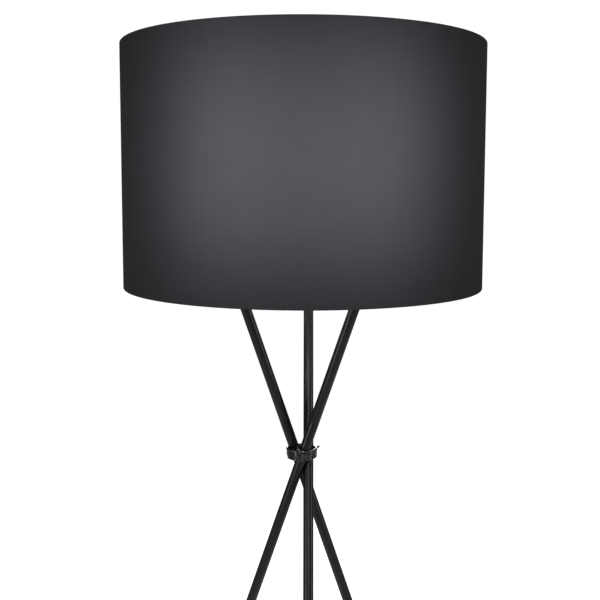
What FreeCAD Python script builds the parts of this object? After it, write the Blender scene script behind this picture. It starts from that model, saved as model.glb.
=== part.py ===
"""Tripod floor lamp: three straight rods that cross and are bound with wire, under a drum shade.

Millimetres, +Z up. The origin is the point of the floor under the axis that the shade, the lamp
holder and the crossing of the rods share. -Y is the front, where one of the three feet stands.
"""

import FreeCAD, Part
import os

import Sketcher
from FreeCAD import Vector

SIZES = {
    # the whole lamp
    "lamp_height": 1540,
    "shade_diameter": 450,
    "shade_height": 298,
    "crossing_drop": 234,  # from the shade's lower edge down to where the rods cross
    "leg_angle": 20.37,  # degrees between a rod and the vertical
    "rod_gap": 0.45,  # between any two rods where they pass each other
    "fit_clearance": 0.05,  # radial, wherever one round piece fits in another
    "moving_clearance": 0.35,  # radial, between pieces that turn on each other
    # rods
    "rod_diameter": 13.2,
    "rod_wall": 1,
    "upper_joint_rise": 62,  # above the crossing
    "lower_joint_height": 535,
    "leg_top_rise": 26,  # from the shade's lower edge up to the rods' ends
    "sleeve_length": 18,
    "stud_diameter": 8,
    "stud_bore": 5.6,
    "stud_length": 32,
    "insert_length": 14,
    # feet
    "foot_wall": 1.8,
    "foot_grip": 28,
    "foot_sole": 3.5,  # below the lowest edge of the rod
    # wire round the crossing
    "wire_diameter": 3.05,
    "wire_pitch": 3.15,
    "wire_turns": 4.2,
    "wire_start": 8.7,  # above the crossing, to the middle of the first turn
    "wire_gap": 0.05,
    # hub bracket and its fasteners
    "hub_thickness": 3,
    "hub_disc_diameter": 48,
    "arm_width": 18,
    "tip_reach": 16,  # along the sloping tip, from the bend to the rod's axis
    "tip_tail": 9,  # from the rod's axis to the tip's end
    "screw_diameter": 6,
    "screw_bite": 10,
    "screw_hole_gap": 0.3,
    "screw_head_diameter": 10.5,
    "screw_head_height": 3.3,
    "screw_socket": 4,
    "screw_socket_depth": 2,
    "washer_diameter": 12,
    "washer_thickness": 1.2,
    # cord grommets
    "cord_bore": 5.2,
    "grommet_wall": 0.7,
    "grommet_flange": 8.8,
    "grommet_stand": 1.2,  # the flange's height above the rod
    "cord_exit_height": 62,
    "cord_entry_drop": 30,
    # lamp holder
    "nipple_diameter": 10,
    "nipple_bore": 7,
    "nut_flats": 14,
    "nut_thickness": 4,
    "lock_washer_diameter": 18,
    "lock_washer_thickness": 1,
    "cap_diameter": 36,
    "cap_wall": 1.8,
    "cap_length": 24,
    "cap_neck_diameter": 18,
    "cap_neck_length": 7,
    "core_start": 15,
    "skirt_start": 13,
    "skirt_length": 33,
    "skirt_wall": 1.5,
    "seat_height": 18.5,
    "seat_ledge": 3.45,  # out from the skirt
    "seat_thickness": 2.5,
    "shell_diameter": 27.8,
    "shell_wall": 0.4,
    "shell_drop": 1,  # from the skirt's mouth down to the screw shell
    "terminal_radius": 9,
    "terminal_diameter": 3,
    "terminal_length": 5.5,
    "terminal_room": 0.5,  # the hole is this much deeper than its screw
    "terminal_head_diameter": 5.2,
    "terminal_head_height": 2,
    "contact_rise": 3,
    "contact_width": 5,
    "contact_sheet": 0.4,
    "contact_heel": 9,  # from the lamp's axis back to the fixed end
    "contact_foot": 5,  # the flat stretch that is fixed to the core
    "contact_pad": 4,  # from the lamp's axis on to the free end
    # shade
    "cover_thickness": 0.8,
    "lining_thickness": 0.4,
    "hem_return": 8,
    "edge_wire_diameter": 3,
    "spider_ring_width": 9.1,
    "spider_ring_thickness": 2,
    "spider_wire_diameter": 4,
    "spider_bend": 14,
    "spider_azimuth": 25,
    "weld_overlap": 0.3,
    "clamp_ring_width": 7.1,
    "clamp_ring_height": 9.5,
    "clamp_ring_flange": 2,
    "clamp_ring_wall": 2.6,
    "clamp_ring_chamfer": 0.6,
    "notch_room": 2,  # a notch in the hem is this much wider than the arm
    # bulb
    "bulb_length": 108,
    "bulb_diameter": 60,
    "bulb_cap_gap": 0.3,  # radial, in the screw shell
    "bulb_cap_length": 25,
    "bulb_tip_diameter": 9.4,
    "bulb_tip_length": 2.5,
    "bulb_insulator_start": 1.5,  # above the tip's end
    "bulb_insulator_rise": 3,
    "bulb_insulator_lip": 3,
    "bulb_board_thickness": 1.6,
    "bulb_wall": 1.2,
    "bulb_collar": 4,
    "globe_cut": 17,  # from the globe's centre down to its rim
}

doc = FreeCAD.newDocument("TripodFloorLamp")
sheet = doc.addObject("Spreadsheet::Sheet", "Sizes")
for row, (alias, size) in enumerate(SIZES.items(), start=1):
    sheet.set(f"A{row}", alias)
    sheet.set(f"B{row}", str(size))
    sheet.setAlias(f"B{row}", alias)
doc.recompute()

LEGS = {1: 0, 2: 120, 3: 240}  # each leg's azimuth, where it passes the crossing
CORD_LEG = 2
nodes = []


# --- expressions on the sheet -------------------------------------------------------------------


def size(alias):
    return f"Sizes.{alias}"


def half(alias):
    return f"(Sizes.{alias} / 2)"


def number(expression):
    return float(sheet.evalExpression(expression))


FIT = size("fit_clearance")
TILT = size("leg_angle")
SLOPE = f"tan({TILT})"
SHADE_TOP = size("lamp_height")
SHADE_BOTTOM = f"({SHADE_TOP} - Sizes.shade_height)"
CROSSING = f"({SHADE_BOTTOM} - Sizes.crossing_drop)"
LEG_TOP = f"({SHADE_BOTTOM} + Sizes.leg_top_rise)"
# the radius at which three rods, a third of a turn apart, pass each other with the gap left free
CROSSING_RADIUS = f"((Sizes.rod_diameter + Sizes.rod_gap) * sqrt((1 + {SLOPE} ^ 2 / 4) / 3))"
ROD = half("rod_diameter")
ROD_BORE = f"({ROD} - Sizes.rod_wall)"
ROD_FOOT = f"(Sizes.foot_sole + {ROD} * sin({TILT}))"
UPPER_JOINT = f"({CROSSING} + Sizes.upper_joint_rise)"
HUB = f"({LEG_TOP} + Sizes.tip_reach * sin({TILT}))"
HOLDER = f"({HUB} + Sizes.hub_thickness + Sizes.lock_washer_thickness)"
SEAT = f"({HOLDER} + Sizes.seat_height)"
CLAMP = f"({SEAT} + Sizes.spider_ring_thickness)"
CORE_TOP = f"({HOLDER} + Sizes.cap_length)"
BULB = f"({CORE_TOP} + Sizes.contact_rise)"
SKIRT = f"({half('cap_diameter')} + {FIT} + Sizes.skirt_wall)"


def leg_point(leg, height):
    """The point of a leg's axis at a height, as three expressions."""
    azimuth = LEGS[leg]
    out = f"({SLOPE} * ({height} - {CROSSING}))"
    x = f"{CROSSING_RADIUS} * cos({azimuth}) - {out} * sin({azimuth})"
    y = f"{CROSSING_RADIUS} * sin({azimuth}) + {out} * cos({azimuth})"
    return x, y, height


def leg_turn(leg):
    """The rotation that lays +Z along a leg, upwards."""
    return f"rotation(vector(0; 0; 1); {LEGS[leg]}) * rotation(vector(1; 0; 0); -{TILT})"


def on_leg(leg, height, turn=""):
    x, y, z = leg_point(leg, height)
    return f"placement(vector({x}; {y}; {z}); {leg_turn(leg)}{turn})"


def at(x="0", y="0", z="0", turn="rotation(vector(0; 0; 1); 0)"):
    return f"placement(vector({x}; {y}; {z}); {turn})"


# --- the document's objects ---------------------------------------------------------------------


def make(kind, name, placement=None, **expressions):
    """One Part object with its sizes, and its placement, bound to expressions."""
    item = doc.addObject(kind, name)
    for prop, expression in expressions.items():
        item.setExpression(prop, expression)
    if placement:
        item.setExpression("Placement", placement)
    return item


def cylinder(name, radius, height, placement=None):
    return make("Part::Cylinder", name, placement, Radius=radius, Height=height)


def sketch_on(body, role, outline):
    """A closed outline of straight lines, each corner held by two bound distances."""
    sketch = body.newObject("Sketcher::SketchObject", f"{body.Name}_outline")
    plane = next(item for item in body.Origin.OriginFeatures if item.Role == role)
    sketch.AttachmentSupport = (plane, [""])
    sketch.MapMode = "FlatFace"
    corners = [(number(x), number(y)) for x, y in outline]
    for start, end in zip(corners, corners[1:] + corners[:1]):
        sketch.addGeometry(Part.LineSegment(Vector(*start, 0), Vector(*end, 0)), False)
    for i in range(len(outline)):
        following = (i + 1) % len(outline)
        sketch.addConstraint(Sketcher.Constraint("Coincident", i, 2, following, 1))
    for i, (expressions, corner) in enumerate(zip(outline, corners)):
        for direction, expression, value in zip("XY", expressions, corner):
            rule = Sketcher.Constraint(f"Distance{direction}", -1, 1, i, 1, value)
            sketch.setExpression(f"Constraints[{sketch.addConstraint(rule)}]", expression)
    return sketch


def turned(name, outline, placement=None):
    """A body turned about its own Z axis from an outline of (radius, height) corners."""
    body = doc.addObject("PartDesign::Body", name)
    sketch = sketch_on(body, "XZ_Plane", outline)
    turn = body.newObject("PartDesign::Revolution", f"{name}_turn")
    turn.Profile = sketch
    turn.ReferenceAxis = (sketch, ["V_Axis"])
    turn.Angle = 360
    body.Tip = turn
    if placement:
        body.setExpression("Placement", placement)
    return body


def ring(name, bore, outside, length, placement=None):
    """A plain tube, sleeve or washer that stands on its own origin."""
    outline = [(bore, "0"), (outside, "0"), (outside, length), (bore, length)]
    return turned(name, outline, placement)


def folded(name, role, outline, width, placement=None):
    """A strip of metal from its side outline, as wide as given about the outline's plane."""
    body = doc.addObject("PartDesign::Body", name)
    sketch = sketch_on(body, role, outline)
    pad = body.newObject("PartDesign::Pad", f"{name}_pad")
    pad.Profile = sketch
    pad.Midplane = True
    pad.setExpression("Length", width)
    body.Tip = pad
    if placement:
        body.setExpression("Placement", placement)
    return body


def cut(name, base, tool):
    item = doc.addObject("Part::Cut", name)
    item.Base = base
    item.Tool = tool
    return item


def fused(name, items):
    item = doc.addObject("Part::MultiFuse", name)
    item.Shapes = items
    return item


def node(label, *items):
    """Marks a finished sub-part; several like pieces become one node of separate solids."""
    if len(items) == 1:
        item = items[0]
    else:
        item = doc.addObject("Part::Compound", f"{label}_set")
        item.Links = list(items)
    item.Label = label
    nodes.append(item)


# --- legs: each a rod of three tubes screwed together, with a foot -------------------------------

LEG_SPANS = {
    "lower": (ROD_FOOT, size("lower_joint_height")),
    "middle": (size("lower_joint_height"), UPPER_JOINT),
    "upper": (UPPER_JOINT, LEG_TOP),
}
CORD_EXIT = size("cord_exit_height")
CORD_ENTRY = f"({LEG_TOP} - Sizes.cord_entry_drop)"
GROMMET_BARREL = f"({half('cord_bore')} + Sizes.grommet_wall)"


def sideways(about):
    """The further rotation that lays +Z square to a leg, an angle about the leg from its side."""
    return f" * rotation(vector(0; 0; 1); {about}) * rotation(vector(0; 1; 0); 90)"


# the cord leaves the rod sideways at the foot, and comes in from the lamp's axis at the top
GROMMETS = {
    "lower": (CORD_EXIT, sideways("0")),
    "upper": (CORD_ENTRY, sideways("-90")),
}


def leg_tube(leg, span):
    low, high = LEG_SPANS[span]
    length = f"({high} - {low}) / cos({TILT})"
    name = f"leg_{leg}_{span}"
    tube = ring(f"{name}_tube", ROD_BORE, ROD, length, on_leg(leg, low))
    if leg != CORD_LEG or span not in GROMMETS:
        return tube
    height, turn = GROMMETS[span]
    radius = f"{GROMMET_BARREL} + {FIT}"
    hole = cylinder(f"{name}_hole", radius, size("rod_diameter"), on_leg(leg, height, turn))
    return cut(f"{name}_bored", tube, hole)


def foot(leg):
    """A rubber cup on the rod's end, cut off level with the floor."""
    grip = f"({ROD} + {FIT})"
    outside = f"({ROD} + Sizes.foot_wall)"
    depth = f"(-2 * ({ROD_FOOT} + {outside}))"
    chamfer = "Sizes.foot_wall / 2"
    cup = turned(
        f"foot_{leg}_cup",
        [
            ("0", depth),
            (outside, depth),
            (outside, f"Sizes.foot_grip - {chamfer}"),
            (f"{outside} - {chamfer}", size("foot_grip")),
            (grip, size("foot_grip")),
            (grip, "0"),
            ("0", "0"),
        ],
        on_leg(leg, ROD_FOOT),
    )
    x, y, _ = leg_point(leg, "0")
    block = f"(4 * ({ROD_FOOT} + {outside}))"
    corner = at(f"{x} - {block} / 2", f"{y} - {block} / 2", f"-{block}")
    below = make("Part::Box", f"foot_{leg}_below", corner, Length=block, Width=block, Height=block)
    return cut(f"foot_{leg}_cut", cup, below)


for leg in LEGS:
    for span in LEG_SPANS:
        node(f"leg_{leg}_{span}", leg_tube(leg, span))
    node(f"foot_{leg}", foot(leg))

sleeves = []
studs = []
for leg in LEGS:
    for place, joint in (("lower", size("lower_joint_height")), ("upper", UPPER_JOINT)):
        for side, drop in (("above", "0"), ("below", f"Sizes.sleeve_length * cos({TILT})")):
            sleeve = ring(
                f"sleeve_{leg}_{place}_{side}",
                f"{half('stud_diameter')} + {FIT}",
                f"{ROD_BORE} - {FIT}",
                size("sleeve_length"),
                on_leg(leg, f"({joint} - {drop})"),
            )
            sleeves.append(sleeve)
        stud_start = f"({joint} - {half('stud_length')} * cos({TILT}))"
        stud = ring(
            f"stud_{leg}_{place}",
            half("stud_bore"),
            half("stud_diameter"),
            size("stud_length"),
            on_leg(leg, stud_start),
        )
        studs.append(stud)
node("leg_joint_sleeves", *sleeves)
node("leg_joint_studs", *studs)


def grommet(place):
    """A bush with a flange that is hollowed underneath to sit on the round rod."""
    height, turn = GROMMETS[place]
    name = f"grommet_{place}"
    bore = half("cord_bore")
    inside = f"({ROD_BORE} - 2 * Sizes.grommet_wall)"
    top = f"({ROD} + Sizes.grommet_stand)"
    across = half("grommet_flange")
    low = f"({ROD} - {across})"
    barrel = turned(
        f"{name}_barrel",
        [(bore, inside), (GROMMET_BARREL, inside), (GROMMET_BARREL, top), (bore, top)],
    )
    plate = turned(f"{name}_plate", [(bore, low), (across, low), (across, top), (bore, top)])
    along = at(x="-Sizes.rod_diameter", turn="rotation(vector(0; 1; 0); 90)")
    rod = cylinder(f"{name}_rod", ROD, "2 * Sizes.rod_diameter", along)
    whole = fused(name, [barrel, cut(f"{name}_flange", plate, rod)])
    whole.setExpression("Placement", on_leg(CORD_LEG, height, turn))
    return whole


node("cord_grommets", grommet("lower"), grommet("upper"))


# --- the wire that binds the rods where they cross -----------------------------------------------


def rod_reach(height):
    """How far the rods stand out from the lamp's axis at a height above their crossing."""
    drift = f"({SLOPE} * {height})"
    axis = f"sqrt({CROSSING_RADIUS} ^ 2 + {drift} ^ 2)"
    return f"({axis} + {ROD} * sqrt(1 + ({SLOPE} * {drift} / {axis}) ^ 2))"


def wire_radius(height):
    top_of_wire = f"({height} + {half('wire_diameter')})"
    return f"({rod_reach(top_of_wire)} + {half('wire_diameter')} + Sizes.wire_gap)"


WIRE_RISE = "(Sizes.wire_pitch * Sizes.wire_turns)"
wire_low = wire_radius(size("wire_start"))
wire_high = wire_radius(f"(Sizes.wire_start + {WIRE_RISE})")
wire_height = f"({CROSSING} + Sizes.wire_start)"
wire_path = make(
    "Part::Helix",
    "wire_path",
    at(z=wire_height),
    Pitch=size("wire_pitch"),
    Height=WIRE_RISE,
    Radius=wire_low,
    Angle=f"atan(({wire_high} - {wire_low}) / {WIRE_RISE})",
)
upright = "rotation(vector(1; 0; 0); 90)"
wire_section = make(
    "Part::Circle", "wire_section", at(wire_low, "0", wire_height, upright),
    Radius=half("wire_diameter"),
)
wire = doc.addObject("Part::Sweep", "wire")
wire.Sections = [wire_section]
wire.Spine = (wire_path, [])
wire.Solid = True
wire.Frenet = True
node("crossing_wire", wire)


# --- hub: a three-armed bracket screwed to the tops of the rods -----------------------------------

HUB_TOP = f"({HUB} + Sizes.hub_thickness)"


def hub_arm(leg):
    """One arm of the bracket: flat from the middle, then bent down square to its rod."""
    out = f"({SLOPE} * ({LEG_TOP} - {CROSSING}))"
    bend = f"({out} - Sizes.tip_reach * cos({TILT}))"
    end_out = f"({out} + Sizes.tip_tail * cos({TILT}))"
    end_up = f"({LEG_TOP} - Sizes.tip_tail * sin({TILT}))"
    over = f"{end_out} + Sizes.hub_thickness * sin({TILT})"
    above = f"{end_up} + Sizes.hub_thickness * cos({TILT})"
    outline = [
        ("0", HUB),
        (bend, HUB),
        (end_out, end_up),
        (over, above),
        (f"{bend} + Sizes.hub_thickness * tan({TILT} / 2)", HUB_TOP),
        ("0", HUB_TOP),
    ]
    azimuth = LEGS[leg]
    beside = at(
        f"{CROSSING_RADIUS} * cos({azimuth})",
        f"{CROSSING_RADIUS} * sin({azimuth})",
        turn=f"rotation(vector(0; 0; 1); {azimuth})",
    )
    return folded(f"hub_arm_{leg}", "YZ_Plane", outline, size("arm_width"), beside)


def hub_bracket():
    disc = cylinder("hub_disc", half("hub_disc_diameter"), size("hub_thickness"), at(z=HUB))
    hole_radius = f"{half('screw_diameter')} + Sizes.screw_hole_gap"
    hole_start = f"({LEG_TOP} - Sizes.hub_thickness * cos({TILT}))"
    holes = [
        cylinder(f"hub_hole_{leg}", hole_radius, "3 * Sizes.hub_thickness", on_leg(leg, hole_start))
        for leg in LEGS
    ]
    middle = cylinder(
        "hub_middle_hole",
        f"{half('nipple_diameter')} + 2 * {FIT}",
        "3 * Sizes.hub_thickness",
        at(z=f"{HUB} - Sizes.hub_thickness"),
    )
    blank = fused("hub_blank", [disc] + [hub_arm(leg) for leg in LEGS])
    return cut("hub_cut", blank, fused("hub_holes", holes + [middle]))


node("hub_bracket", hub_bracket())

inserts = []
washers = []
screws = []
for leg in LEGS:
    thread = f"({half('screw_diameter')} + {FIT})"
    insert_start = f"({LEG_TOP} - Sizes.insert_length * cos({TILT}))"
    insert = ring(
        f"insert_{leg}", thread, f"{ROD_BORE} - {FIT}", size("insert_length"),
        on_leg(leg, insert_start),
    )
    inserts.append(insert)
    plate_top = f"({LEG_TOP} + Sizes.hub_thickness * cos({TILT}))"
    washer = ring(
        f"washer_{leg}", f"{half('screw_diameter')} + Sizes.screw_hole_gap / 2",
        half("washer_diameter"), size("washer_thickness"), on_leg(leg, plate_top),
    )
    washers.append(washer)
    stem = half("screw_diameter")
    head = half("screw_head_diameter")
    head_base = "(Sizes.hub_thickness + Sizes.washer_thickness)"
    head_top = f"({head_base} + Sizes.screw_head_height)"
    socket_floor = f"{head_top} - Sizes.screw_socket_depth"
    screw = turned(
        f"screw_{leg}",
        [
            ("0", "-Sizes.screw_bite"),
            (stem, "-Sizes.screw_bite"),
            (stem, head_base),
            (head, head_base),
            (head, f"{head_top} - {half('screw_head_height')}"),
            (f"{head} - {half('screw_head_height')}", head_top),
            (half("screw_socket"), head_top),
            (half("screw_socket"), socket_floor),
            ("0", socket_floor),
        ],
        on_leg(leg, LEG_TOP),
    )
    screws.append(screw)
node("leg_top_inserts", *inserts)
node("hub_washers", *washers)
node("hub_screws", *screws)


# --- lamp holder: on a hollow nipple through the bracket's middle ---------------------------------

nipple_start = f"({HUB} - Sizes.nut_thickness - Sizes.hub_thickness / 2)"
nipple_top = f"({HOLDER} + Sizes.cap_neck_length)"
node(
    "holder_nipple",
    ring(
        "nipple", half("nipple_bore"), half("nipple_diameter"),
        f"{nipple_top} - {nipple_start}", at(z=nipple_start),
    ),
)

THREAD_ON_NIPPLE = f"({half('nipple_diameter')} + {FIT})"
nut_blank = make(
    "Part::Prism", "nut_blank", at(z=f"{HUB} - Sizes.nut_thickness"),
    Circumradius="Sizes.nut_flats / sqrt(3)", Height=size("nut_thickness"),
)
nut_blank.Polygon = 6
nut_bore = cylinder(
    "nut_bore", THREAD_ON_NIPPLE, size("nut_thickness"), at(z=f"{HUB} - Sizes.nut_thickness")
)
node("holder_nut", cut("nut", nut_blank, nut_bore))
node(
    "holder_lock_washer",
    ring(
        "lock_washer", THREAD_ON_NIPPLE, half("lock_washer_diameter"),
        size("lock_washer_thickness"), at(z=HUB_TOP),
    ),
)


def holder_cap():
    outside = half("cap_diameter")
    inside = f"({outside} - Sizes.cap_wall)"
    neck = size("cap_neck_length")
    floor = f"({neck} + Sizes.cap_wall)"
    return turned(
        "cap",
        [
            (THREAD_ON_NIPPLE, "0"),
            (half("cap_neck_diameter"), "0"),
            (half("cap_neck_diameter"), neck),
            (outside, f"{neck} + Sizes.cap_wall"),
            (outside, size("cap_length")),
            (inside, size("cap_length")),
            (inside, f"{floor} + Sizes.cap_wall"),
            (half("cap_neck_diameter"), floor),
            (THREAD_ON_NIPPLE, floor),
        ],
        at(z=HOLDER),
    )


def holder_skirt():
    """The sleeve that screws over the cap, with the seat for the shade's fitter ring."""
    inside = f"({half('cap_diameter')} + {FIT})"
    mouth = f"({half('shell_diameter')} + 2 * Sizes.cap_wall)"
    seat = f"({SKIRT} + Sizes.seat_ledge)"
    seat_low = "(Sizes.seat_height - Sizes.seat_thickness)"
    top = "(Sizes.skirt_start + Sizes.skirt_length)"
    return turned(
        "skirt",
        [
            (inside, size("skirt_start")),
            (SKIRT, size("skirt_start")),
            (SKIRT, seat_low),
            (seat, seat_low),
            (seat, size("seat_height")),
            (SKIRT, size("seat_height")),
            (SKIRT, top),
            (mouth, top),
            (mouth, size("cap_length")),
            (inside, size("cap_length")),
        ],
        at(z=HOLDER),
    )


def holder_core():
    """The insulating block, with two holes from below for the terminal screws."""
    radius = f"{half('cap_diameter')} - Sizes.cap_wall - {FIT}"
    length = "Sizes.cap_length - Sizes.core_start"
    block = cylinder("core_block", radius, length, at(z=f"{HOLDER} + Sizes.core_start"))
    bore = f"{half('terminal_diameter')} + {FIT}"
    depth = "Sizes.terminal_length + Sizes.terminal_room"
    holes = [
        cylinder(
            f"core_hole_{side}", bore, depth,
            at(f"{side} * Sizes.terminal_radius", "0", f"{HOLDER} + Sizes.core_start"),
        )
        for side in (-1, 1)
    ]
    return cut("core", block, fused("core_holes", holes))


node("holder_cap", holder_cap())
node("holder_skirt", holder_skirt())
node("holder_core", holder_core())
node(
    "holder_screw_shell",
    ring(
        "screw_shell",
        f"{half('shell_diameter')} - Sizes.shell_wall",
        half("shell_diameter"),
        "Sizes.skirt_start + Sizes.skirt_length - Sizes.cap_length - Sizes.shell_drop",
        at(z=CORE_TOP),
    ),
)
terminals = [
    turned(
        f"terminal_{side}",
        [
            ("0", "-Sizes.terminal_head_height"),
            (half("terminal_head_diameter"), "-Sizes.terminal_head_height"),
            (half("terminal_head_diameter"), "0"),
            (half("terminal_diameter"), "0"),
            (half("terminal_diameter"), size("terminal_length")),
            ("0", size("terminal_length")),
        ],
        at(f"{side} * Sizes.terminal_radius", "0", f"{HOLDER} + Sizes.core_start"),
    )
    for side in (-1, 1)
]
node("holder_terminal_screws", *terminals)


def holder_centre_contact():
    """A brass tongue: flat on the core, then up to the bulb's tip, and level under it."""
    heel = "-Sizes.contact_heel"
    bend = "(Sizes.contact_foot - Sizes.contact_heel)"
    sheet_metal = size("contact_sheet")
    top = size("contact_rise")
    slant = f"{sheet_metal} / 4"
    return folded(
        "centre_contact",
        "XZ_Plane",
        [
            (heel, "0"),
            (bend, "0"),
            (slant, f"{top} - {sheet_metal}"),
            (size("contact_pad"), f"{top} - {sheet_metal}"),
            (size("contact_pad"), top),
            (f"-{slant}", top),
            (f"{bend} - {slant}", sheet_metal),
            (heel, sheet_metal),
        ],
        size("contact_width"),
        at(z=CORE_TOP),
    )


node("holder_centre_contact", holder_centre_contact())


def shade_clamp_ring():
    """The ring that screws down the skirt and holds the shade's fitter ring on its seat."""
    bore = f"({SKIRT} + Sizes.moving_clearance)"
    flange = f"({bore} + Sizes.clamp_ring_width)"
    collar = f"({bore} + Sizes.clamp_ring_wall)"
    chamfer = size("clamp_ring_chamfer")
    return turned(
        "clamp_ring",
        [
            (bore, "0"),
            (flange, "0"),
            (flange, size("clamp_ring_flange")),
            (collar, f"Sizes.clamp_ring_flange + 2 * {chamfer}"),
            (collar, f"Sizes.clamp_ring_height - {chamfer}"),
            (f"{collar} - {chamfer}", size("clamp_ring_height")),
            (bore, size("clamp_ring_height")),
        ],
        at(z=CLAMP),
    )


node("shade_clamp_ring", shade_clamp_ring())


# --- shade: fabric on a plastic lining, stretched between two wire rings --------------------------

SHADE = half("shade_diameter")
COVER_INSIDE = f"({SHADE} - Sizes.cover_thickness)"
EDGE_WIRE = half("edge_wire_diameter")
EDGE_WIRE_RING = f"({COVER_INSIDE} - 2 * {FIT} - {EDGE_WIRE})"
EDGE_WIRE_HEIGHT = f"(Sizes.cover_thickness + 2 * {FIT} + {EDGE_WIRE})"
HEM_OUTSIDE = f"({EDGE_WIRE_RING} - {EDGE_WIRE} - 2 * {FIT})"
HEM_INSIDE = f"({HEM_OUTSIDE} - Sizes.cover_thickness)"
SPIDER_WIRE = half("spider_wire_diameter")
SPIDER_DROP = f"({EDGE_WIRE_RING} - {EDGE_WIRE} - {SPIDER_WIRE} + Sizes.weld_overlap)"
SPIDER_AZIMUTHS = [f"(Sizes.spider_azimuth + {120 * arm})" for arm in range(3)]


def shade_cover():
    """The fabric drum; its edges turn in round the wires, cut away where the spider's arms pass."""
    height = size("shade_height")
    cloth = size("cover_thickness")
    hem = size("hem_return")
    drum = turned(
        "cover_drum",
        [
            (SHADE, "0"),
            (SHADE, height),
            (HEM_INSIDE, height),
            (HEM_INSIDE, f"{height} - {hem}"),
            (HEM_OUTSIDE, f"{height} - {hem}"),
            (HEM_OUTSIDE, f"{height} - {cloth}"),
            (COVER_INSIDE, f"{height} - {cloth}"),
            (COVER_INSIDE, cloth),
            (HEM_OUTSIDE, cloth),
            (HEM_OUTSIDE, hem),
            (HEM_INSIDE, hem),
            (HEM_INSIDE, "0"),
        ],
        at(z=SHADE_BOTTOM),
    )
    width = "(Sizes.spider_wire_diameter + Sizes.notch_room)"
    depth = "(4 * Sizes.cover_thickness)"
    notches = []
    for arm, azimuth in enumerate(SPIDER_AZIMUTHS):
        near = f"({HEM_OUTSIDE} - 3 * Sizes.cover_thickness)"
        x = f"{near} * cos({azimuth}) + {width} / 2 * sin({azimuth})"
        y = f"{near} * sin({azimuth}) - {width} / 2 * cos({azimuth})"
        z = f"{SHADE_BOTTOM} + {cloth}"
        corner = at(x, y, z, f"rotation(vector(0; 0; 1); {azimuth})")
        notch = make(
            "Part::Box", f"cover_notch_{arm + 1}", corner, Length=depth, Width=width, Height=hem
        )
        notches.append(notch)
    return cut("cover", drum, fused("cover_notches", notches))


def edge_wire(name, height):
    return make(
        "Part::Torus", name, at(z=height), Radius1=EDGE_WIRE_RING, Radius2=EDGE_WIRE
    )


def spider():
    """The fitter ring and its three wire arms, which turn down to the lower edge wire."""
    hole = f"({SKIRT} + Sizes.moving_clearance)"
    outside = f"({hole} + Sizes.spider_ring_width)"
    pieces = [ring("fitter_ring", hole, outside, size("spider_ring_thickness"), at(z=SEAT))]
    level = f"({SEAT} + {half('spider_ring_thickness')})"
    bend = size("spider_bend")
    start = f"({outside} - 2 * Sizes.weld_overlap)"
    corner = f"({SPIDER_DROP} - {bend})"
    foot_height = f"({SHADE_BOTTOM} + {EDGE_WIRE_HEIGHT} - {EDGE_WIRE} / 2)"
    for arm, azimuth in enumerate(SPIDER_AZIMUTHS, start=1):
        cos, sin = f"cos({azimuth})", f"sin({azimuth})"
        about = f"rotation(vector(0; 0; 1); {azimuth})"
        outwards = f"{about} * rotation(vector(0; 1; 0); 90)"
        lying = at(f"{start} * {cos}", f"{start} * {sin}", level, outwards)
        pieces.append(cylinder(f"arm_{arm}_out", SPIDER_WIRE, f"{corner} - {start}", lying))
        hanging = at(f"{SPIDER_DROP} * {cos}", f"{SPIDER_DROP} * {sin}", foot_height)
        drop = f"{level} - {bend} - {foot_height}"
        pieces.append(cylinder(f"arm_{arm}_down", SPIDER_WIRE, drop, hanging))
        elbow_turn = f"{about} * rotation(vector(1; 0; 0); 90)"
        elbow_at = at(f"{corner} * {cos}", f"{corner} * {sin}", f"{level} - {bend}", elbow_turn)
        elbow = make(
            "Part::Torus", f"arm_{arm}_elbow", elbow_at, Radius1=bend, Radius2=SPIDER_WIRE
        )
        elbow.Angle3 = 90
        pieces.append(elbow)
    return fused("spider", pieces)


node("shade_cover", shade_cover())
node(
    "shade_lining",
    ring(
        "lining",
        f"{COVER_INSIDE} - {FIT} - Sizes.lining_thickness",
        f"{COVER_INSIDE} - {FIT}",
        f"Sizes.shade_height - 2 * ({EDGE_WIRE_HEIGHT} + Sizes.edge_wire_diameter)",
        at(z=f"{SHADE_BOTTOM} + {EDGE_WIRE_HEIGHT} + Sizes.edge_wire_diameter"),
    ),
)
node("shade_wire_top", edge_wire("wire_top", f"{SHADE_TOP} - {EDGE_WIRE_HEIGHT}"))
node("shade_wire_bottom", edge_wire("wire_bottom", f"{SHADE_BOTTOM} + {EDGE_WIRE_HEIGHT}"))
node("shade_spider", spider())


# --- bulb -----------------------------------------------------------------------------------------

BULB_CAP = f"({half('shell_diameter')} - Sizes.shell_wall - Sizes.bulb_cap_gap)"
GLOBE = half("bulb_diameter")
GLOBE_CENTRE = f"(Sizes.bulb_length - {GLOBE})"
RIM_HEIGHT = f"({GLOBE_CENTRE} - Sizes.globe_cut)"
RIM = f"sqrt({GLOBE} ^ 2 - Sizes.globe_cut ^ 2)"
WALL = size("bulb_wall")
TIP = half("bulb_tip_diameter")


def bulb_cap():
    """The screw cap, closed below by its insulator except for the tip."""
    inside = f"({BULB_CAP} - {WALL} / 2)"
    around_tip = f"({TIP} + Sizes.moving_clearance)"
    low = size("bulb_insulator_start")
    shell_low = f"({low} + Sizes.bulb_insulator_rise)"
    lip = f"({around_tip} + Sizes.bulb_insulator_lip)"
    return turned(
        "bulb_screw_cap",
        [
            (around_tip, low),
            (lip, low),
            (BULB_CAP, shell_low),
            (BULB_CAP, size("bulb_cap_length")),
            (inside, size("bulb_cap_length")),
            (inside, f"{shell_low} + {WALL}"),
            (f"{lip} - {WALL}", f"{low} + {WALL}"),
            (around_tip, f"{low} + {WALL}"),
        ],
        at(z=BULB),
    )


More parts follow.
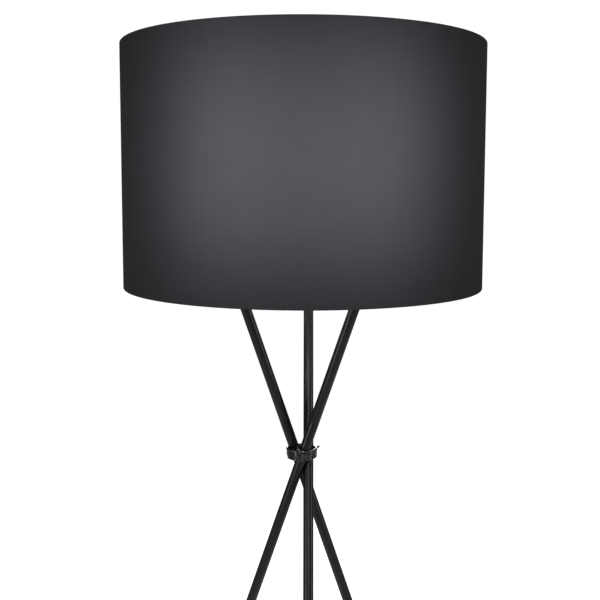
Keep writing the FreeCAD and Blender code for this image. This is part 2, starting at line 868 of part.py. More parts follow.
def bulb_housing():
    """The plastic cone from the screw cap up to the globe's rim."""
    low = f"(Sizes.bulb_cap_length + {FIT})"
    return turned(
        "bulb_cone",
        [
            (f"{BULB_CAP} - {WALL}", low),
            (f"{BULB_CAP} + {WALL} / 2", low),
            (f"{BULB_CAP} + {WALL} / 2", f"{low} + Sizes.bulb_collar"),
            (RIM, RIM_HEIGHT),
            (f"{RIM} - {WALL}", RIM_HEIGHT),
            (f"{BULB_CAP} - {WALL}", f"{low} + Sizes.bulb_collar"),
        ],
        at(z=BULB),
    )


def bulb_globe():
    centre = f"{BULB} + {GLOBE_CENTRE}"
    outside = make("Part::Sphere", "globe_outside", at(z=centre), Radius=GLOBE)
    inside = make("Part::Sphere", "globe_inside", at(z=centre), Radius=f"{GLOBE} - {WALL}")
    below = cylinder("globe_below", f"2 * {GLOBE}", GLOBE, at(z=f"{BULB} + {RIM_HEIGHT} - {GLOBE}"))
    return cut("globe", outside, fused("globe_hollow", [inside, below]))


node("bulb_cap", bulb_cap())
node("bulb_housing", bulb_housing())
node("bulb_globe", bulb_globe())
board_low = f"{BULB} + {RIM_HEIGHT} - Sizes.bulb_board_thickness"
board = cylinder("board", f"{RIM} - 3 * {WALL}", size("bulb_board_thickness"), at(z=board_low))
node("bulb_board", board)
node("bulb_tip_contact", cylinder("tip", TIP, size("bulb_tip_length"), at(z=BULB)))

doc.recompute()


# --- checks and files -----------------------------------------------------------------------------

for item in doc.Objects:
    if {"Invalid", "Error"} & set(item.State):
        raise SystemExit(f"{item.Label} did not compute: {item.State}")
for item in nodes:
    if item.Shape.isNull() or not item.Shape.isValid() or not item.Shape.Solids:
        raise SystemExit(f"{item.Label} has no valid solid")

os.makedirs("parts", exist_ok=True)
for item in nodes:
    item.Shape.exportStep(f"parts/{item.Label}.step")
    solids = item.Shape.Solids
    volume = sum(solid.Volume for solid in solids)
    print(f"{item.Label}: {len(solids)} solids, {volume:.1f} mm3")
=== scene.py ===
"""Looks of a tripod floor lamp: three crossing black rods bound with wire, and a drum shade.

Metres, +Z up, the origin on the floor under the axis that shade, holder and crossing share.
"""

import math

import bmesh
import bpy
from mathutils import Matrix, Vector


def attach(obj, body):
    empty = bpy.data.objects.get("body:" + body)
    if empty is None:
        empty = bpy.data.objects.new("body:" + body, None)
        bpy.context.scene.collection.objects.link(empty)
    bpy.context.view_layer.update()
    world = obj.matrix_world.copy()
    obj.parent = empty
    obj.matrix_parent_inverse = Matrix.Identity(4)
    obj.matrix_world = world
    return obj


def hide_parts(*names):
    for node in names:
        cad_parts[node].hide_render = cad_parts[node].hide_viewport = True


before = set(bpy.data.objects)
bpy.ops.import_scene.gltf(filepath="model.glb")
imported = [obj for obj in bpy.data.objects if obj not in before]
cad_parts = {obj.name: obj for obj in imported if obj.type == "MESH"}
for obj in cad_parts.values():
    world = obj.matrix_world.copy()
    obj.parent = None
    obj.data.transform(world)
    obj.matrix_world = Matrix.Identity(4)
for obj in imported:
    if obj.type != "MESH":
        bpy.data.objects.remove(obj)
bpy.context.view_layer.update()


# --- Rods -----------------------------------------------------------------------------------------
# Three straight steel tubes, each screwed together from three lengths over a hidden stud, so that
# only a hairline shows at a joint. The tubes are cut, eased at the ends and powder-coated in a
# satin black that has the faint orange peel of baked powder.

MM = 0.001
ROD_RADIUS = 6.6 * MM
ROD_BORE = 5.6 * MM
ROD_EDGE = 0.45 * MM
LEG_ANGLE = math.radians(20.37)
CROSSING_HEIGHT = 1008 * MM
CROSSING_RADIUS = 8.016 * MM
LEG_AZIMUTHS = {1: 0, 2: 120, 3: 240}
ROD_ENDS = {
    "lower": (5.797 * MM, 535 * MM),
    "middle": (535 * MM, 1070 * MM),
    "upper": (1070 * MM, 1268 * MM),
}


class Term:
    """A shader socket in a sum: an operator on it adds the Math node for that operation."""

    def __init__(self, tree, socket):
        self.tree = tree
        self.socket = socket

    def math(self, operation, *others):
        """The result of a Math node whose inputs are this term and the others."""
        node = self.tree.nodes.new("ShaderNodeMath")
        node.operation = operation
        for place, item in zip(node.inputs, (self, *others)):
            if isinstance(item, Term):
                self.tree.links.new(item.socket, place)
            else:
                place.default_value = item
        return Term(self.tree, node.outputs[0])

    def __add__(self, other):
        return self.math("ADD", other)

    def __sub__(self, other):
        return self.math("SUBTRACT", other)

    def __rsub__(self, other):
        return self.math("MULTIPLY_ADD", -1, other)

    def __mul__(self, other):
        return self.math("MULTIPLY", other)

    __radd__ = __add__
    __rmul__ = __mul__


class Finish:
    """A material with one Principled shader, whose sockets take plain values or shader terms."""

    def __init__(self, name, **sockets):
        self.material = bpy.data.materials.new(name)
        self.material.use_nodes = True
        self.tree = self.material.node_tree
        self.shader = self.tree.nodes["Principled BSDF"]
        self.vary(**sockets)

    def fill(self, socket, value):
        if isinstance(value, Term):
            self.tree.links.new(value.socket, socket)
        elif isinstance(value, tuple) and socket.type == "RGBA":
            socket.default_value = (*value, 1)
        else:
            socket.default_value = value

    def vary(self, **sockets):
        for label, value in sockets.items():
            self.fill(self.shader.inputs[label.replace("_", " ")], value)

    def add(self, kind, settings=(), output=0, stops=(), **sockets):
        """A node of one kind: its settings first, then its sockets; returns one output."""
        node = self.tree.nodes.new(f"ShaderNode{kind}")
        for label, value in dict(settings).items():
            setattr(node, label, value)
        for stop, (place, level) in zip(node.color_ramp.elements if stops else (), stops):
            stop.position = place
            stop.color = (level, level, level, 1)
        for label, value in sockets.items():
            name = label.replace("_", " ")
            self.fill(next(s for s in node.inputs if s.name == name and s.enabled), value)
        return Term(self.tree, node.outputs[output])

    def place(self):
        """Where a point is on the object, in metres."""
        return self.add("TexCoord", output="Object")

    def cloud(self, scale, detail=2, place=None):
        """Soft cloudy noise from 0 to 1, with so many clouds to the metre."""
        return self.add("TexNoise", Vector=place or self.place(), Scale=scale, Detail=detail)

    def step(self, value, low, high):
        """0 where a value is under low, 1 where it is over high."""
        return self.add("ValToRGB", stops=[(low, 0), (high, 1)], Fac=value)

    def between(self, low, high, share):
        """A colour that goes from low to high as share goes from 0 to 1."""
        mix = self.add("Mix", {"data_type": "RGBA"}, output=2, Factor=share)
        self.fill(mix.socket.node.inputs[6], low)
        self.fill(mix.socket.node.inputs[7], high)
        return mix

    def relief(self, height, depth):
        """Bumps the surface by a height from 0 to 1, which is so many metres deep."""
        self.vary(Normal=self.add("Bump", Strength=1.0, Distance=depth, Height=height))


def shades(level, spread, tint=(1, 1, 1)):
    """A darker and a lighter version of a grey, with the same tint."""
    return [tuple(level * side * part for part in tint) for side in (1 - spread, 1 + spread)]


def powder_coat(name, level=0.006):
    """Satin black powder: a little cloudy in tone and gloss, with a fine orange peel."""
    coat = Finish(name)
    cloud = coat.cloud(35)
    coat.vary(Base_Color=coat.between(*shades(level, 0.15, (1, 1, 1.06)), cloud))
    coat.vary(Roughness=0.27 + 0.10 * cloud)
    coat.relief(coat.cloud(700, detail=1), 0.015 * MM)
    return coat.material


def rounded(corners, radius, steps=3):
    """An outline whose corners off the axis are eased to about a radius."""
    points = []
    for i, corner in enumerate(corners):
        here = Vector(corner)
        back = Vector(corners[i - 1]) - here
        ahead = Vector(corners[(i + 1) % len(corners)]) - here
        if here.x == 0 or not radius:
            points.append(here)
            continue
        start = here + back.normalized() * min(radius, back.length * 0.45)
        end = here + ahead.normalized() * min(radius, ahead.length * 0.45)
        for step in range(steps + 1):
            t = step / steps
            points.append(start * (1 - t) ** 2 + here * 2 * t * (1 - t) + end * t**2)
    return points


def turn(outline, around=64, shape=None, at=Matrix(), form=None):
    """Adds a closed outline of (radius, height) points, turned about Z, to a form.

    around is how many steps the turn has, or a list of their angles. shape may move a point: it
    takes its radius, height and angle and gives a radius and height.
    """
    form = form or bmesh.new()
    angles = around
    if isinstance(around, int):
        angles = [2 * math.pi * step / around for step in range(around)]
    rings = []
    for radius, height in outline:
        ring = []
        for angle in angles if radius > 0 else angles[:1]:
            reach, level = shape(radius, height, angle) if shape else (radius, height)
            corner = at @ Vector((reach * math.cos(angle), reach * math.sin(angle), level))
            ring.append(form.verts.new(corner))
        rings.append(ring)
    faces = []
    for lower, upper in zip(rings, rings[1:] + rings[:1]):
        for step in range(len(angles)):
            after = step + 1
            corners = [
                lower[step % len(lower)],
                lower[after % len(lower)],
                upper[after % len(upper)],
                upper[step % len(upper)],
            ]
            corners = list(dict.fromkeys(corners))
            if len(corners) > 2:
                faces.append(form.faces.new(corners))
    bmesh.ops.recalc_face_normals(form, faces=faces)
    return form


def piece(name, form, finish, body, nodes, sharp=38):
    """Makes an object of a form, with its finish and body, that stands for CAD nodes.

    Edges that turn by more than sharp, in degrees, are shaded as creases.
    """
    mesh = bpy.data.meshes.new(name)
    form.to_mesh(mesh)
    form.free()
    mesh.shade_smooth()
    mesh.set_sharp_from_angle(angle=math.radians(sharp))
    mesh.materials.append(finish)
    made = bpy.data.objects.new(name, mesh)
    bpy.context.scene.collection.objects.link(made)
    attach(made, body)
    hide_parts(*nodes)
    return made


def leg_frame(leg, height):
    """The frame on a leg's axis at a height, with its Z up the rod."""
    azimuth = math.radians(LEG_AZIMUTHS[leg])
    out = math.tan(LEG_ANGLE) * (height - CROSSING_HEIGHT)
    x = CROSSING_RADIUS * math.cos(azimuth) - out * math.sin(azimuth)
    y = CROSSING_RADIUS * math.sin(azimuth) + out * math.cos(azimuth)
    tilt = Matrix.Rotation(azimuth, 4, "Z") @ Matrix.Rotation(-LEG_ANGLE, 4, "X")
    return Matrix.Translation((x, y, height)) @ tilt


rod_black = powder_coat("rod_black_powder_coat")
for leg in LEG_AZIMUTHS:
    for span, (low, high) in ROD_ENDS.items():
        length = (high - low) / math.cos(LEG_ANGLE)
        end = [(ROD_BORE, 0), (ROD_RADIUS, 0), (ROD_RADIUS, length), (ROD_BORE, length)]
        tube = turn(rounded(end, ROD_EDGE), around=56, at=leg_frame(leg, low))
        piece(f"rod_{leg}_{span}", tube, rod_black, "stand", [f"leg_{leg}_{span}"])


# --- Fittings inside the rods ---------------------------------------------------------------------
# Turned steel sleeves pressed into the tube ends, the hollow studs that screw two lengths together,
# and the threaded inserts that take the top screws. All are bright zinc plated.


def zinc_plate(name):
    """Thin bright zinc: a pale, slightly blue metal with cloudy patches and fine drag lines."""
    plate = Finish(name, Metallic=1.0)
    patches = plate.cloud(160, detail=4)
    low, high = shades(0.52, 0.16, (1, 1.01, 1.04))
    plate.vary(Base_Color=plate.between(low, high, patches), Roughness=0.24 + 0.22 * patches)
    plate.relief(plate.cloud(2500, detail=1), 0.02 * MM)
    return plate.material


def dress(finish, *names, ease=0.0):
    """Gives CAD nodes that stay in sight their finish, and may ease their edges."""
    for name in names:
        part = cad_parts[name]
        if not part.material_slots:
            part.data.materials.append(None)
        for slot in part.material_slots:
            slot.link = "OBJECT"
            slot.material = finish
        if ease:
            bevel = part.modifiers.new("eased_edges", "BEVEL")
            bevel.width = ease
            bevel.segments = 2
            bevel.limit_method = "ANGLE"
            bevel.angle_limit = math.radians(40)
            bevel.harden_normals = True


zinc = zinc_plate("bright_zinc")
dress(zinc, "leg_joint_sleeves", "leg_joint_studs", "leg_top_inserts")


# --- Feet -----------------------------------------------------------------------------------------
# A moulded black rubber cup pushed on each rod's end. It has three grip grooves and a rounded lip,
# and its sole is cut level so that it lies flat on the floor.

FOOT_GRIP = 28 * MM
FOOT_INSIDE = 6.65 * MM
FOOT_OUTSIDE = 8.4 * MM
FOOT_LIP = 0.8 * MM
FOOT_DEPTH = 26 * MM
FOOT_GROOVES = [9 * MM, 14 * MM, 19 * MM]
FOOT_GROOVE_WIDTH = 1.6 * MM
FOOT_GROOVE_DEPTH = 0.5 * MM
FOOT_EASE = 0.35 * MM
SOLE_EDGE = 0.5 * MM


def rubber(name, level=0.014):
    """Black rubber: nearly matt, with a fine grain and a faint grey bloom in patches."""
    skin = Finish(name)
    bloom = skin.cloud(60, detail=3)
    skin.vary(Base_Color=skin.between(*shades(level, 0.35), bloom), Roughness=0.58 + 0.2 * bloom)
    skin.relief(skin.cloud(1800, detail=2), 0.05 * MM)
    return skin.material


foot_rubber = rubber("foot_rubber")
grooves = []
for height in FOOT_GROOVES:
    half = FOOT_GROOVE_WIDTH / 2
    grooves += [
        (FOOT_OUTSIDE, height - half),
        (FOOT_OUTSIDE - FOOT_GROOVE_DEPTH, height - half / 2),
        (FOOT_OUTSIDE - FOOT_GROOVE_DEPTH, height + half / 2),
        (FOOT_OUTSIDE, height + half),
    ]
foot_outline = [
    (0, -FOOT_DEPTH),
    (FOOT_OUTSIDE, -FOOT_DEPTH),
    *grooves,
    (FOOT_OUTSIDE, FOOT_GRIP - FOOT_LIP),
    (FOOT_OUTSIDE - FOOT_LIP, FOOT_GRIP),
    (FOOT_INSIDE, FOOT_GRIP),
    (FOOT_INSIDE, 0),
    (0, 0),
]
rod_foot = ROD_ENDS["lower"][0]
for leg in LEG_AZIMUTHS:
    cup = turn(rounded(foot_outline, FOOT_EASE, 2), around=48, at=leg_frame(leg, rod_foot))
    everything = cup.verts[:] + cup.edges[:] + cup.faces[:]
    cut = bmesh.ops.bisect_plane(
        cup, geom=everything, plane_co=(0, 0, 0), plane_no=(0, 0, 1), clear_inner=True
    )
    rim = [item for item in cut["geom_cut"] if isinstance(item, bmesh.types.BMEdge)]
    sole = bmesh.ops.contextual_create(cup, geom=rim)["faces"]
    bmesh.ops.recalc_face_normals(cup, faces=cup.faces)
    bmesh.ops.bevel(cup, geom=sole[0].edges[:], offset=SOLE_EDGE, segments=2, affect="EDGES")
    piece(f"foot_cup_{leg}", cup, foot_rubber, "stand", [f"foot_{leg}"])


# --- Cord bushes ----------------------------------------------------------------------------------
# Two small rubber bushes in the hollow rod that carries the cord: one where the cord comes out
# above the foot, and one where it goes in under the shade.

dress(rubber("bush_rubber", 0.008), "cord_grommets", ease=0.15 * MM)


# --- Binding wire ---------------------------------------------------------------------------------
# A soft steel wire in glossy black plastic, wound by hand some four turns round the three rods just
# above where they cross. Its turns pull in a little between the rods. One end comes up inside and
# is bent down over the turns in front, and the other is cut off short and stands out at the right.

WIRE_RADIUS = 1.35 * MM
WIRE_PULL = 0.8 * MM
WIRE_GAP = 0.7 * MM
WIRE_LEAST_REACH = 19.2 * MM
WIRE_SHIFT = Vector((-0.5 * MM, 0, 0))
WIRE_LOW = 9.4 * MM
WIRE_HIGH = 21.4 * MM
WIRE_FIRST_AZIMUTH = 192
WIRE_LAST_AZIMUTH = 352 + 4 * 360
WIRE_POINTS = 110


def drawn(points, radius, sides=8):
    """A form of round wire along the smooth curve that a row of points steers."""
    path = bpy.data.curves.new("wire_path", "CURVE")
    path.dimensions = "3D"
    path.bevel_depth = radius
    path.bevel_resolution = sides // 2
    path.use_fill_caps = True
    spline = path.splines.new("NURBS")
    spline.points.add(len(points) - 1)
    for point, place in zip(spline.points, points):
        point.co = (*place, 1)
    spline.order_u = 4
    spline.use_endpoint_u = True
    spline.resolution_u = 4
    holder = bpy.data.objects.new("wire_path", path)
    mesh = bpy.data.meshes.new_from_object(holder)
    form = bmesh.new()
    form.from_mesh(mesh)
    bpy.data.objects.remove(holder)
    bpy.data.curves.remove(path)
    bpy.data.meshes.remove(mesh)
    return form


def joined(*forms):
    """One form of several."""
    whole = forms[0]
    for form in forms[1:]:
        part = bpy.data.meshes.new("part")
        form.to_mesh(part)
        form.free()
        whole.from_mesh(part)
        bpy.data.meshes.remove(part)
    return whole


def polar(reach, azimuth, rise):
    """A point at a reach and an azimuth in degrees, so far above the crossing."""
    angle = math.radians(azimuth)
    level = Vector((reach * math.cos(angle), reach * math.sin(angle), CROSSING_HEIGHT + rise))
    return level + WIRE_SHIFT


def wound(azimuth, rise):
    """A point of the winding: it hugs each rod, and pulls in between two rods."""
    drift = math.tan(LEG_ANGLE) * rise
    rod_reach = math.hypot(CROSSING_RADIUS, drift)
    lean = math.sqrt(1 + (math.tan(LEG_ANGLE) * drift / rod_reach) ** 2)
    hug = rod_reach + ROD_RADIUS * lean + WIRE_RADIUS + WIRE_GAP
    beside_rod = math.radians(azimuth) - math.atan2(drift, CROSSING_RADIUS)
    pull = WIRE_PULL * (1 - math.cos(3 * beside_rod)) / 2
    return polar(max(hug, WIRE_LEAST_REACH) - pull, azimuth, rise)


bent_end = [
    polar(22.7 * MM, 274, 18.6 * MM),
    polar(23.0 * MM, 268, 20.6 * MM),
    polar(22.5 * MM, 262, 22.9 * MM),
    polar(20.4 * MM, 257, 24.6 * MM),
    polar(17.8 * MM, 252, 25.0 * MM),
    polar(15.4 * MM, 247, 23.6 * MM),
    polar(13.9 * MM, 242, 20.8 * MM),
    polar(12.9 * MM, 230, 16.5 * MM),
    polar(12.9 * MM, 210, 12.2 * MM),
    polar(13.4 * MM, 193, 9.8 * MM),
    polar(16.2 * MM, 184, 8.9 * MM),
]
winding = []
for step in range(WIRE_POINTS + 1):
    share = step / WIRE_POINTS
    azimuth = WIRE_FIRST_AZIMUTH + share * (WIRE_LAST_AZIMUTH - WIRE_FIRST_AZIMUTH)
    winding.append(wound(azimuth, WIRE_LOW + share * (WIRE_HIGH - WIRE_LOW)))
cut_end = [polar(20.4 * MM, 357, 21.7 * MM), polar(22.0 * MM, 2, 22.4 * MM)]

wire_black = Finish("glossy_black_wire", Coat_Weight=1.0, Coat_Roughness=0.05)
smear = wire_black.cloud(260, detail=2)
wire_black.vary(Base_Color=wire_black.between(*shades(0.005, 0.3), smear))
wire_black.vary(Roughness=0.16 + 0.12 * smear)
wire_black.relief(wire_black.cloud(420, detail=1), 0.03 * MM)
binding = drawn(bent_end + winding + cut_end, WIRE_RADIUS, sides=12)
piece("binding_wire", binding, wire_black.material, "stand", ["crossing_wire"])


# --- Hub bracket and its fasteners ----------------------------------------------------------------
# A 3 mm steel plate with three arms bent down square to the rods, powder-coated black. Each arm is
# held by a black button-head screw with a hexagon socket, over a bright zinc washer.

SCREW_RADIUS = 3 * MM
SCREW_BITE = 10 * MM
SCREW_HEAD_BASE = 4.2 * MM
SCREW_HEAD_TOP = 7.5 * MM
SCREW_HEAD_RADIUS = 5.25 * MM
SCREW_SHOULDER = 1.9 * MM
SCREW_DOME = [(0.6 * MM, 0.9 * MM), (1.6 * MM, 0.25 * MM)]
SOCKET_RADIUS = 2.0 * MM
SOCKET_FLOOR = 5.5 * MM
SOCKET_CHAMFER = (0.45 * MM, 0.3 * MM)
DRILL_POINT = 0.4 * MM
LEG_TOP = 1268 * MM


def hexagonal(radius, height, angle):
    """Turns a round socket into one of six flats; every other radius stays as it is."""
    if not 0.5 * SOCKET_RADIUS < radius < 1.2 * SOCKET_RADIUS or height < SOCKET_FLOOR - 1 * MM:
        return radius, height
    from_flat = math.remainder(angle, math.pi / 3)
    return radius / math.cos(from_flat), height


dress(powder_coat("hub_black_powder_coat", 0.007), "hub_bracket", ease=0.4 * MM)
dress(zinc, "hub_washers", ease=0.15 * MM)
dome = [(SCREW_HEAD_RADIUS - inward, SCREW_HEAD_TOP - down) for inward, down in SCREW_DOME]
screw_outline = [
    (0, -SCREW_BITE),
    (SCREW_RADIUS, -SCREW_BITE),
    (SCREW_RADIUS, SCREW_HEAD_BASE),
    (SCREW_HEAD_RADIUS, SCREW_HEAD_BASE),
    (SCREW_HEAD_RADIUS, SCREW_HEAD_TOP - SCREW_SHOULDER),
    *dome,
    (SOCKET_RADIUS + SOCKET_CHAMFER[0], SCREW_HEAD_TOP),
    (SOCKET_RADIUS, SCREW_HEAD_TOP - SOCKET_CHAMFER[1]),
    (SOCKET_RADIUS, SOCKET_FLOOR),
    (0, SOCKET_FLOOR - DRILL_POINT),
]
screws = bmesh.new()
for leg in LEG_AZIMUTHS:
    turn(rounded(screw_outline, 0.25 * MM, 2), 48, hexagonal, leg_frame(leg, LEG_TOP), screws)
screw_black = Finish("black_oxide_steel", Metallic=1.0)
oil = screw_black.cloud(300, detail=3)
screw_black.vary(Base_Color=screw_black.between(*shades(0.05, 0.3, (1.05, 1, 0.95)), oil))
screw_black.vary(Roughness=0.36 + 0.15 * oil)
screw_black.relief(screw_black.cloud(2200, detail=1), 0.02 * MM)
piece("hub_button_screws", screws, screw_black.material, "stand", ["hub_screws"])


# --- Lamp holder ----------------------------------------------------------------------------------
# A two-part holder of pressed black phenolic on a threaded steel nipple. A cap with ribs for the
# fingers screws on the nipple, and a long skirt with an outside thread and a seat for the shade
# screws over the cap. Inside are a porcelain block, a plated screw shell and a brass contact.

HOLDER = 1277.573 * MM
NIPPLE_START = 1268.073 * MM
NIPPLE_RADIUS = 5 * MM
NIPPLE_BORE = 3.5 * MM
NIPPLE_PITCH = 1 * MM
NIPPLE_GROOVE = 0.5 * MM
NIPPLE_LENGTH = 16.5 * MM
CAP_RADIUS = 18 * MM
CAP_WALL = 1.8 * MM
CAP_NECK_RADIUS = 9 * MM
CAP_NECK = 7 * MM
CAP_LENGTH = 24 * MM
CAP_CHAMFER = 1.2 * MM
CAP_RIBS = 40
CAP_RIB_BAND = (9.6 * MM, 12.2 * MM)
CAP_RIB_DEPTH = 0.45 * MM
RIB_RUN = 0.6 * MM
SKIRT_INSIDE = 18.05 * MM
SKIRT_RADIUS = 19.55 * MM
SKIRT_MOUTH = 17.5 * MM
SKIRT_START = 13 * MM
SKIRT_TOP = 46 * MM
SKIRT_PITCH = 2.5 * MM
SKIRT_GROOVE = 0.8 * MM
SKIRT_EASE = 0.8 * MM
MOUTH_EASE = 0.4 * MM
SEAT_RADIUS = 23 * MM
SEAT_LOW = 16 * MM
SEAT_HIGH = 18.5 * MM
SEAT_FILLET = 0.6 * MM
SEAT_EASE = (0.4 * MM, 0.3 * MM)
LAMP_PITCH = 3.629 * MM
SHELL_RADIUS = 13.9 * MM
SHELL_INSIDE = 13.5 * MM
SHELL_TOP = 45 * MM
SHELL_SWELL = 0.8 * MM


def level_ramp(height, low, high, run):
    """0 below low and above high, 1 between them, with a short run in and out."""
    return max(0.0, min(1.0, (height - low) / run, (high - height) / run))


def screw_thread(pitch, depth, low, high, reach):
    """A shape for turn(): a right-hand thread whose crests stand where the outline is.

    It is cut only where the outline's radius is between the two of reach.
    """

    def shape(radius, height, angle):
        if not reach[0] < radius < reach[1]:
            return radius, height
        phase = height / pitch - angle / (2 * math.pi)
        groove = 0.5 - 0.5 * math.cos(2 * math.pi * phase)
        return radius - depth * groove * level_ramp(height, low, high, pitch), height

    return shape


def column(radius, low, high, step):
    """Points up a straight side, close enough together to carry a thread."""
    count = math.ceil(abs(high - low) / step)
    return [(radius, low + (high - low) * i / count) for i in range(count + 1)]


def phenolic(name, level=0.007):
    """Pressed black phenolic: a glossy skin with faint flow marks and fine handling marks."""
    skin = Finish(name, Coat_Weight=0.25, Coat_Roughness=0.15)
    flow = skin.cloud(90, detail=4)
    skin.vary(Base_Color=skin.between(*shades(level, 0.25, (1.05, 1, 0.97)), flow))
    skin.vary(Roughness=0.25 + 0.2 * flow)
    skin.relief(skin.cloud(700, detail=2), 0.03 * MM)
    return skin.material


nipple_step = NIPPLE_PITCH / 8
nipple_outline = [
    *column(NIPPLE_RADIUS, 0, NIPPLE_LENGTH, nipple_step),
    (NIPPLE_BORE, NIPPLE_LENGTH),
    (NIPPLE_BORE, 0),
]
outer_skin = (NIPPLE_BORE * 1.1, NIPPLE_RADIUS * 2)
nipple_thread = screw_thread(NIPPLE_PITCH, NIPPLE_GROOVE, 0, NIPPLE_LENGTH, outer_skin)
nipple = turn(nipple_outline, 40, nipple_thread, Matrix.Translation((0, 0, NIPPLE_START)))
piece("threaded_nipple", nipple, zinc, "stand", ["holder_nipple"])
dress(zinc, "holder_nut", "holder_lock_washer", ease=0.3 * MM)

holder_black = phenolic("black_phenolic")
cap_outline = [
    (NIPPLE_RADIUS, 0),
    (CAP_NECK_RADIUS, 0),
    (CAP_NECK_RADIUS, CAP_NECK - CAP_CHAMFER),
    (CAP_RADIUS - CAP_CHAMFER, CAP_NECK + CAP_WALL / 2),
    (CAP_RADIUS, CAP_NECK + CAP_WALL),
    *column(CAP_RADIUS, *CAP_RIB_BAND, 0.5 * MM),
    (CAP_RADIUS, CAP_LENGTH),
    (CAP_RADIUS - CAP_WALL, CAP_LENGTH),
    (CAP_RADIUS - CAP_WALL, CAP_NECK + 2 * CAP_WALL),
    (CAP_NECK_RADIUS, CAP_NECK + CAP_WALL),
    (NIPPLE_RADIUS, CAP_NECK + CAP_WALL),
]


def finger_ribs(radius, height, angle):
    """Grooves up the cap's outside, between two heights."""
    band = level_ramp(height, *CAP_RIB_BAND, RIB_RUN) if radius > 0.99 * CAP_RADIUS else 0
    return radius - CAP_RIB_DEPTH * band * (0.5 + 0.5 * math.cos(CAP_RIBS * angle)), height


at_holder = Matrix.Translation((0, 0, HOLDER))
cap = turn(cap_outline, CAP_RIBS * 6, finger_ribs, at_holder)
piece("holder_ribbed_cap", cap, holder_black, "stand", ["holder_cap"])

skirt_outline = [
    (SKIRT_INSIDE, SKIRT_START),
    (SKIRT_RADIUS, SKIRT_START),
    (SKIRT_RADIUS, SEAT_LOW - SEAT_FILLET),
    (SKIRT_RADIUS + SEAT_FILLET, SEAT_LOW),
    (SEAT_RADIUS - SEAT_EASE[0], SEAT_LOW),
    (SEAT_RADIUS, SEAT_LOW + SEAT_EASE[0]),
    (SEAT_RADIUS, SEAT_HIGH - SEAT_EASE[1]),
    (SEAT_RADIUS - SEAT_EASE[1], SEAT_HIGH),
    *column(SKIRT_RADIUS, SEAT_HIGH, SKIRT_TOP - SKIRT_EASE, SKIRT_PITCH / 10),
    (SKIRT_RADIUS - SKIRT_EASE, SKIRT_TOP),
    (SKIRT_MOUTH + MOUTH_EASE, SKIRT_TOP),
    (SKIRT_MOUTH, SKIRT_TOP - MOUTH_EASE),
    (SKIRT_MOUTH, CAP_LENGTH),
    (SKIRT_INSIDE, CAP_LENGTH),
]
skirt_skin = (SKIRT_RADIUS * 0.99, SKIRT_RADIUS * 1.01)
skirt_thread = screw_thread(SKIRT_PITCH, SKIRT_GROOVE, SEAT_HIGH, SKIRT_TOP, skirt_skin)
skirt = turn(skirt_outline, 96, skirt_thread, at_holder)
piece("holder_threaded_skirt", skirt, holder_black, "stand", ["holder_skirt"])


def glaze(name, colour):
    """Glazed porcelain: off-white under a clear coat, with a few dark specks from the kiln."""
    body = Finish(name, Coat_Weight=0.7, Coat_Roughness=0.08, Roughness=0.4)
    speck = body.step(body.cloud(1100, detail=1), 0.70, 0.74)
    body.vary(Base_Color=body.between(colour, (0.25, 0.2, 0.15), speck))
    body.relief(body.cloud(250, detail=2), 0.05 * MM)
    return body.material


def plated(name, colour, roughness=0.22):
    """Thin plated sheet metal with a drawn grain and dull patches."""
    sheet = Finish(name, Metallic=1.0)
    dull = sheet.cloud(220, detail=4)
    darker = tuple(part * 0.7 for part in colour)
    sheet.vary(Base_Color=sheet.between(darker, colour, dull), Roughness=roughness + 0.2 * dull)
    sheet.relief(sheet.cloud(1900, detail=2), 0.02 * MM)
    return sheet.material


dress(glaze("holder_porcelain", (0.78, 0.76, 0.70)), "holder_core", ease=0.3 * MM)
brass = plated("contact_brass", (0.75, 0.55, 0.24))
dress(brass, "holder_terminal_screws", "holder_centre_contact", ease=0.08 * MM)
shell_outline = [
    *column(SHELL_RADIUS + SHELL_SWELL, CAP_LENGTH, SHELL_TOP, LAMP_PITCH / 10),
    *column(SHELL_INSIDE + SHELL_SWELL, SHELL_TOP, CAP_LENGTH, LAMP_PITCH / 10),
]
shell_thread = screw_thread(LAMP_PITCH, SHELL_SWELL, 0, 2 * SHELL_TOP, (SHELL_INSIDE, SKIRT_MOUTH))
shell = turn(shell_outline, 72, shell_thread, at_holder)
nickel = plated("nickel_shell", (0.62, 0.60, 0.55))
piece("holder_rolled_shell", shell, nickel, "stand", ["holder_screw_shell"])


# --- Shade frame ----------------------------------------------------------------------------------
# Two hoops of steel wire and, welded to the lower one, three wire arms that rise and turn in to a
# punched fitter ring. Everything is dipped in white epoxy, thick and slightly wavy at the welds.

SHADE_BOTTOM = 1242 * MM
SHADE_TOP = 1540 * MM
HOOP_RADIUS = 222.6 * MM
HOOP_WIRE = 1.5 * MM
HOOP_LIFT = 2.4 * MM
FITTER_HOLE = 19.9 * MM
FITTER_RADIUS = 29 * MM
FITTER_THICKNESS = 2 * MM
FITTER_SEAT = 1296.073 * MM
ARM_WIRE = 2 * MM
ARM_BEND = 14 * MM
ARM_DROP_RADIUS = 219.4 * MM
ARM_BEND_POINTS = [(5 * MM, 0.6 * MM), (0.6 * MM, 5 * MM), (0, ARM_BEND + 3 * MM)]
ARM_AZIMUTHS = [25, 145, 265]
HOOP_SIDES = 12
WELD_SIZE = (2.4 * MM, 2.4 * MM, 1.9 * MM)
WELD_SIDES = 12

epoxy = Finish("white_epoxy", Coat_Weight=0.4, Coat_Roughness=0.12)
yellowed = epoxy.cloud(45, detail=3)
epoxy.vary(Base_Color=epoxy.between((0.80, 0.79, 0.75), (0.70, 0.685, 0.64), yellowed))
epoxy.vary(Roughness=0.30 + 0.12 * yellowed)
epoxy.relief(epoxy.cloud(500, detail=1), 0.06 * MM)


